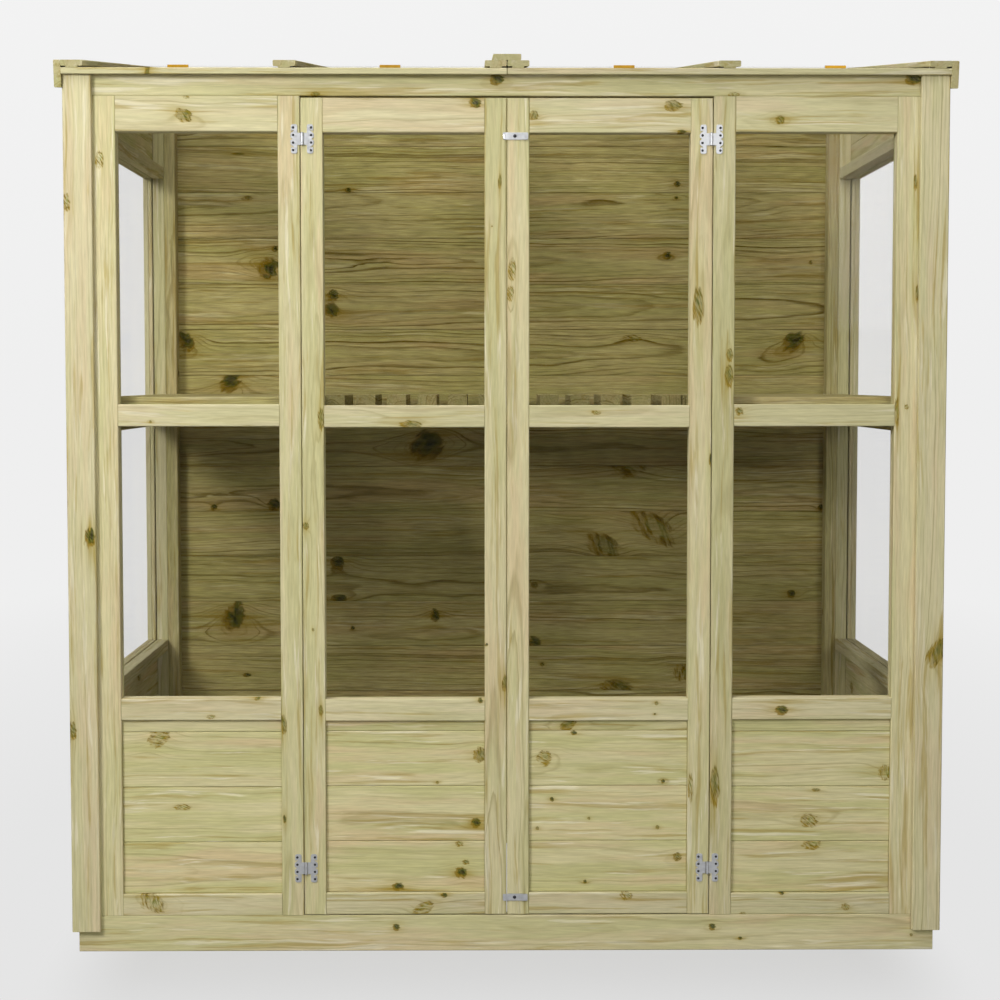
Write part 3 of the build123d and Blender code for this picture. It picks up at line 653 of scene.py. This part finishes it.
ring_share = add(tree, "Math", (ring_depth, bold), operation="MULTIPLY", use_clamp=True)
ringed = add(tree, "Mix", {0: ring_share, 6: pale, 7: wood["summer line"]}, data_type="RGBA")
amber_mask = add(tree, "MapRange", {0: streak.outputs["Fac"], 1: 0.55, 2: 0.65, 4: 0.6}, **smooth)
amber = add(tree, "Mix", {0: amber_mask, 6: ringed, 7: wood["streak"]}, data_type="RGBA")
fibre_low = add(tree, "MapRange", {0: board.outputs["Y"], 3: 0.87, 4: 0.68})
fibre_high = add(tree, "MapRange", {0: board.outputs["Y"], 3: 1.11, 4: 1.27})
fibre_light = add(tree, "MapRange", {0: fibre.outputs["Fac"], 1: 0.28, 2: 0.72, 3: fibre_low, 4: fibre_high})
streak_light = add(tree, "MapRange", {0: streak.outputs["Fac"], 1: 0.3, 2: 0.7, 3: 1.05, 4: 0.95})
both_light = add(tree, "Math", (fibre_light, streak_light), operation="MULTIPLY")
board_light = add(tree, "Math", (tone.outputs["Y"], tone_light, both_light), operation="MULTIPLY_ADD")
clear_wood = add(tree, "VectorMath", {0: amber, 3: board_light}, operation="SCALE")
print("clear wood is mixed from", len(wood), "colours")

# %% [markdown]
# A knot is a bundle of dark, hard fibres that point where the branch went. Its edge is frayed and its heart
# lies off the middle, so the dark bark line shows as a crescent on one side. In a faint knot pale wood comes
# through between the strands, a dead one is nearly black at heart, and the wood along the grain beside it is
# stained amber by resin. Places in a knot are counted in its radii, so large and small ones fray alike.

# %% Colour of knots
frays_per_radius, strands_per_radius = (0.9, 2.4, 1), (1.1, 4.5, 1)
heart_place = (0.22, 0.16, 0)
strand_slant = 0.9
frayed_place = add(tree, "VectorMath", (knot_place, frays_per_radius), operation="MULTIPLY")
fraying = {"Vector": frayed_place, "W": seed, "Scale": 1.0, "Detail": 4.0}
frayed = add(tree, "TexNoise", fraying, noise_dimensions="4D")
frayed_about = add(tree, "Math", (frayed.outputs["Fac"], 0.5), operation="SUBTRACT")
torn = add(tree, "Math", (frayed_about, 1.5, knot_distance), operation="MULTIPLY_ADD")
core = add(tree, "MapRange", {0: torn, 1: 1.25, 2: 0.95, 3: 0.0, 4: 1.0}, **smooth)
off_heart = add(tree, "VectorMath", (knot_place, heart_place), operation="SUBTRACT")
heart_distance = add(tree, "VectorMath", (off_heart,), operation="LENGTH")
grown = add(tree, "Math", (frayed_about, 2.4, heart_distance.outputs["Value"]), operation="MULTIPLY_ADD")
faint_knot = ((0.0, "#8F9046"), (0.3, "#72762F"), (0.55, "#A08620"), (0.8, "#62500C"), (1.0, "#957C1E"))
dead_knot = (
    (0.0, "#0C1410"), (0.25, "#1A2A1C"), (0.45, "#343F18"),
    (0.66, "#5C6222"), (0.85, "#5A4A10"), (1.0, "#8C7424"),
)
knot_kinds = []
for steps in (faint_knot, dead_knot):
    kind = add(tree, "ValToRGB", (grown,))
    ramp = kind.color_ramp
    ramp.elements.remove(ramp.elements[1])
    ramp.elements[0].position, ramp.elements[0].color = steps[0][0], colour(steps[0][1])
    for position, value in steps[1:]:
        ramp.elements.new(position).color = colour(value)
    knot_kinds.append(kind)
knot_colour = add(tree, "Mix", {0: knot_dark, 6: knot_kinds[0], 7: knot_kinds[1]}, data_type="RGBA")
resin_cloud = add(tree, "MapRange", {0: streak.outputs["Fac"], 1: 0.38, 2: 0.6, 3: 0.1, 4: 0.95})
resin_share = add(tree, "Math", (knot_halo, resin_cloud), operation="MULTIPLY")
stained = add(tree, "Mix", {0: resin_share, 6: clear_wood, 7: colour("#A0882E")}, data_type="RGBA")
slanted = add(tree, "VectorRotate", {"Vector": knot_place, "Angle": strand_slant}, rotation_type="Z_AXIS")
strand_place = add(tree, "VectorMath", (slanted, strands_per_radius), operation="MULTIPLY")
stranding = {"Vector": strand_place, "W": seed, "Scale": 1.0, "Detail": 3.0}
strand = add(tree, "TexNoise", stranding, noise_dimensions="4D")
between = add(tree, "MapRange", {0: knot_dark, 3: 0.12, 4: 0.8})
strands = add(tree, "MapRange", {0: strand.outputs["Fac"], 1: 0.42, 2: 0.6, 3: between, 4: 0.95})
core_share = add(tree, "Math", (core, strands), operation="MULTIPLY")
knotted = add(tree, "Mix", {0: core_share, 6: stained, 7: knot_colour}, data_type="RGBA")
print("knot kinds:", len(knot_kinds))

# %% [markdown]
# The sawn ends of a board drink more salt and are darker. The timbers inside the greenhouse are painted
# darker and browner than the front: painted shade for the light that doesn't reach them.

# %% Colour of ends, and painted shade inside
end_from, end_until = 0.0002, 0.001
from_middle = add(tree, "Math", (along.outputs["X"],), operation="ABSOLUTE")
to_end = add(tree, "Math", (board.outputs["X"], from_middle), operation="SUBTRACT")
end_mask = add(tree, "MapRange", {0: to_end, 1: end_from, 2: end_until, 3: 0.45, 4: 0.0})
ended_wood = add(tree, "Mix", {0: end_mask, 6: knotted, 7: colour("#8A8452")}, data_type="RGBA")
# painted shade: timbers inside are multiplied towards a darker brown
painted_inside_shade = {0: board.outputs["Y"], 6: ended_wood, 7: colour("#D6D0B2")}
finished = add(tree, "Mix", painted_inside_shade, data_type="RGBA", blend_type="MULTIPLY")
print("dark ends reach", end_until * 1000, "mm into a board")

# %% [markdown]
# Planed softwood is dull: the summer lines are a little smoother than the spring wood, and stand a tenth of a
# millimetre proud once the timber has dried. The relief is drawn with a bump, since it is far below a pixel,
# and deeper than life, to show at all. Bare treated pine is all cut fibres and mirrors nothing, so the gloss
# that a varnish would give is off.

# %% Roughness, relief and the pine shader
relief_depth = 0.0006
rough = add(tree, "MapRange", {0: ring, 1: 0.0, 2: 1.0, 3: 0.78, 4: 0.6})
fibre_relief = add(tree, "Math", (fibre.outputs["Fac"], 0.8, ring), operation="MULTIPLY_ADD")
relief = add(tree, "Bump", {"Strength": 0.5, "Distance": relief_depth, "Height": fibre_relief})
pine_shader = add(tree, "BsdfPrincipled", {
    "Base Color": finished, "Roughness": rough, "Normal": relief, "Specular IOR Level": 0.0,
})
tree.links.new(pine_shader.outputs[0], pine_output.inputs["Surface"])
for piece in pine_pieces:
    dress(piece, pine)
print("pine material nodes:", len(tree.nodes))

# %% [markdown]
# ## Panes
# The panes are clear sheets, three millimetres thick, with the arris of each edge ground off. A sheet that
# thin hardly bends the light, so it is drawn as a clear film that shines more the flatter it is looked at. A
# true glass shader would stop the lamps, and the inside of the greenhouse would go black. The sheets of the
# real one show next to no reflection, so only a part of the shine of window glass is kept: a fifth at the
# flattest angle, and a twentieth straight on. The share grows with the fifth power of how flat the look is, a
# rule that gives the same share on both faces of a sheet.

# %% Glass
glass, tree, glass_output = new_material("clear horticultural glass")
film = add(tree, "BsdfTransparent", (colour("#FDFDFD"),))
shine = add(tree, "BsdfGlossy", {"Color": colour("#FFFFFF"), "Roughness": 0.03})
facing = add(tree, "LayerWeight", {"Blend": 0.5}).outputs["Facing"]
flat_look = add(tree, "Math", (facing, 5.0), operation="POWER")
straight_shine, added_shine = 0.002, 0.2
share = add(tree, "Math", (flat_look, added_shine, straight_shine), operation="MULTIPLY_ADD")
pane = add(tree, "MixShader", (share, film, shine))
tree.links.new(pane.outputs[0], glass_output.inputs["Surface"])
arris, shortest_arris = 0.0005, 0.001
for node in sorted(node for node in nodes if finish_of[node] == "glazing"):
    piece = add_piece(clean_mesh(node, arris, shortest_arris), node, "_sheet")
    dress(piece, glass)
print("shine straight on:", straight_shine, "at the flattest angle:", straight_shine + added_shine)

# %% [markdown]
# ## Fittings
# Hinges and turn buttons are pressed from sheet steel and zinc plated: a plain light grey with a soft grain
# from the plating bath. The stops under the roof panes are yellow passivated, and the screws are black. Each
# is a metal, so colour and roughness do the work, with a little noise in both. The grain of plating is finer
# than a pixel, so its patches are drawn 3 to 6 mm wide, coarser than life.

# %% Plated steel


def plated(name, low, high, rough_low, rough_high, grit):
    """Return a plated metal between two colours and two roughnesses, its patches grit millimetres wide."""
    material, tree, output = new_material(name)
    place = add(tree, "NewGeometry")
    patch = add(tree, "TexNoise", {"Vector": place.outputs["Position"], "Scale": 1000 / grit, "Detail": 4.0})
    tint = add(tree, "Mix", {0: patch.outputs["Fac"], 6: colour(low), 7: colour(high)}, data_type="RGBA")
    rough = add(tree, "MapRange", {0: patch.outputs["Fac"], 1: 0.3, 2: 0.7, 3: rough_low, 4: rough_high})
    relief = add(tree, "Bump", {"Strength": 0.15, "Distance": 0.0002, "Height": patch.outputs["Fac"]})
    shader = add(tree, "BsdfPrincipled", {
        "Base Color": tint, "Metallic": 1.0, "Roughness": rough, "Normal": relief,
    })
    tree.links.new(shader.outputs[0], output.inputs["Surface"])
    return material


metals = {
    "zinc_steel": plated("bright zinc-plated steel", "#949597", "#BABBBC", 0.34, 0.5, 6),
    "yellow_steel": plated("yellow-passivated steel", "#96701C", "#B48A30", 0.35, 0.5, 6),
    "screw_steel": plated("black phosphated steel", "#2A2A2C", "#3C3C3E", 0.40, 0.55, 3),
}
pressed_round, shortest_pressed = 0.0002, 0.0004
for node in sorted(node for node in nodes if finish_of[node] in metals):
    piece = add_piece(clean_mesh(node, pressed_round, shortest_pressed), node, "_pressed")
    dress(piece, metals[finish_of[node]])
print("metals:", [material.name for material in metals.values()])

# %% [markdown]
# ## The studio
# A pale floor runs out into a pale backdrop. The world gives only a trace of light, so that the inside keeps
# its deep shadows. For the camera, and for what shines or lets light through, it shows the plain backdrop
# colour instead, so that the picture's background doesn't depend on how strong the light is.

# %% World
backdrop_low, backdrop_high = colour("#EFEFEF"), colour("#F3F3F3")
world_strength = 0.02


def looked_at(tree):
    """Return a node that is 1 for the camera, for what shines and for what lets light through, or else 0."""
    rays = add(tree, "LightPath").outputs
    seen = add(tree, "Math", (rays["Is Camera Ray"], rays["Is Glossy Ray"]), operation="MAXIMUM")
    return add(tree, "Math", (seen, rays["Is Transmission Ray"]), operation="MAXIMUM")


world = bpy.data.worlds.new("studio")
bpy.context.scene.world = world
world.use_nodes = True
tree = world.node_tree
tree.nodes.clear()
direction = add(tree, "SeparateXYZ", (add(tree, "TexCoord").outputs["Generated"],))
height = add(tree, "MapRange", {0: direction.outputs["Z"], 1: 0.0, 2: 0.2})
backdrop = add(tree, "Mix", {0: height, 6: backdrop_low, 7: backdrop_high}, data_type="RGBA")
light = add(tree, "Background", {"Color": colour("#FFFFFF"), "Strength": world_strength})
picture = add(tree, "Background", {"Color": backdrop, "Strength": 1.0})
both = add(tree, "MixShader", (looked_at(tree), light, picture))
tree.links.new(both.outputs[0], add(tree, "OutputWorld").inputs["Surface"])
print("world strength:", world_strength)

# %% [markdown]
# The floor is matt paper that takes the shadow of the greenhouse. For the camera, a plain pale colour covers
# most of the paper at the footprint and all of it a step away, sooner at the sides. That colour is a little
# darker near the greenhouse, painted shade, and farther out goes over into the backdrop's, so that no edge of
# the floor can be seen.

# %% Floor
floor_radius = 16
footprint = (0.72, 0.5, 0)
faster_aside = (3, 1, 0)
fade_within, faded_at_footprint = 0.7, 0.72
backdrop_from, backdrop_at = 1.5, 8.0
bpy.ops.mesh.primitive_circle_add(vertices=96, radius=floor_radius, fill_type="NGON", location=(0, 0, 0))
floor = bpy.context.object
floor.name = "studio_floor"
paper, tree, paper_output = new_material("studio paper")
place = add(tree, "NewGeometry")
apart = add(tree, "VectorMath", (place.outputs["Position"],), operation="ABSOLUTE")
beyond = add(tree, "VectorMath", (apart, footprint), operation="SUBTRACT")
outside = add(tree, "VectorMath", (beyond, (0, 0, 0)), operation="MAXIMUM")
sideways = add(tree, "VectorMath", (outside, faster_aside), operation="MULTIPLY")
out = add(tree, "VectorMath", (sideways,), operation="LENGTH")
fading_out = {0: out.outputs["Value"], 1: 0.0, 2: fade_within, 3: faded_at_footprint, 4: 1.0}
fade = add(tree, "MapRange", fading_out, **smooth)
faded = add(tree, "Math", (fade, looked_at(tree)), operation="MULTIPLY")
matt = add(tree, "BsdfPrincipled", {"Base Color": colour("#9A9A98"), "Roughness": 0.9})
distance = add(tree, "MapRange", {0: out.outputs["Value"], 1: backdrop_from, 2: backdrop_at})
# painted shade: the camera's floor colour is darker near the greenhouse and lightens into the backdrop
painted_floor_shade = add(tree, "Mix", {0: distance, 6: colour("#E5E5E5"), 7: backdrop_low}, data_type="RGBA")
far = add(tree, "Emission", (painted_floor_shade, 1.0))
mixed = add(tree, "MixShader", (faded, matt, far))
tree.links.new(mixed.outputs[0], paper_output.inputs["Surface"])
floor.data.materials.append(paper)
print("floor radius:", floor_radius, "m")

# %% [markdown]
# A soft lamp stands on the left in front, above head height. It leaves the fine dark line under the eaves and
# down the left of each recess that gives the front its depth. A larger one overhead lights the inside through
# the roof panes, and a third on the right keeps the left end of the back wall from going black. Two weaker
# ones behind let the end walls and the outside of the back be seen when the greenhouse is turned.

# %% Lamps


def soft_lamp(name, place, aim, size, power):
    """Add a square area lamp at a place, aimed at a point."""
    lamp = bpy.data.lights.new(name, "AREA")
    lamp.shape = "SQUARE"
    lamp.size = size
    lamp.energy = power
    holder = bpy.data.objects.new(name, lamp)
    holder.location = place
    holder.rotation_euler = (Vector(aim) - Vector(place)).to_track_quat("-Z", "Y").to_euler()
    bpy.context.scene.collection.objects.link(holder)
    return holder


front_middle, rear_middle = (0.0, -0.3, 1.0), (0.0, 0.3, 1.0)
soft_lamp("key", (-2.4, -3.2, 2.6), front_middle, 1.0, 89)
soft_lamp("overhead", (-0.8, -2.0, 5.0), front_middle, 3.0, 128)
soft_lamp("fill", (2.2, -5.0, 2.2), front_middle, 1.6, 62)
soft_lamp("rear_left", (-4.0, 3.6, 1.9), rear_middle, 2.0, 55)
soft_lamp("rear_right", (4.0, 3.6, 1.9), rear_middle, 2.0, 55)

# %% [markdown]
# ## Camera
# The camera stands a little over four metres in front, at the height of a chest, and looks slightly down.
# Its lens and place, set where the knots were measured, were worked out from the edges of the front frame and
# of the back wall.

# %% Camera and view settings
camera_data = bpy.data.cameras.new("camera")
camera_data.sensor_width = sensor_width
camera_data.lens = lens
camera = bpy.data.objects.new("camera", camera_data)
camera.location = camera_place
camera.rotation_euler = camera_turn
bpy.context.scene.collection.objects.link(camera)
bpy.context.scene.camera = camera
bpy.context.scene.view_settings.view_transform = "Standard"
print("camera at", [round(v, 3) for v in camera.location])
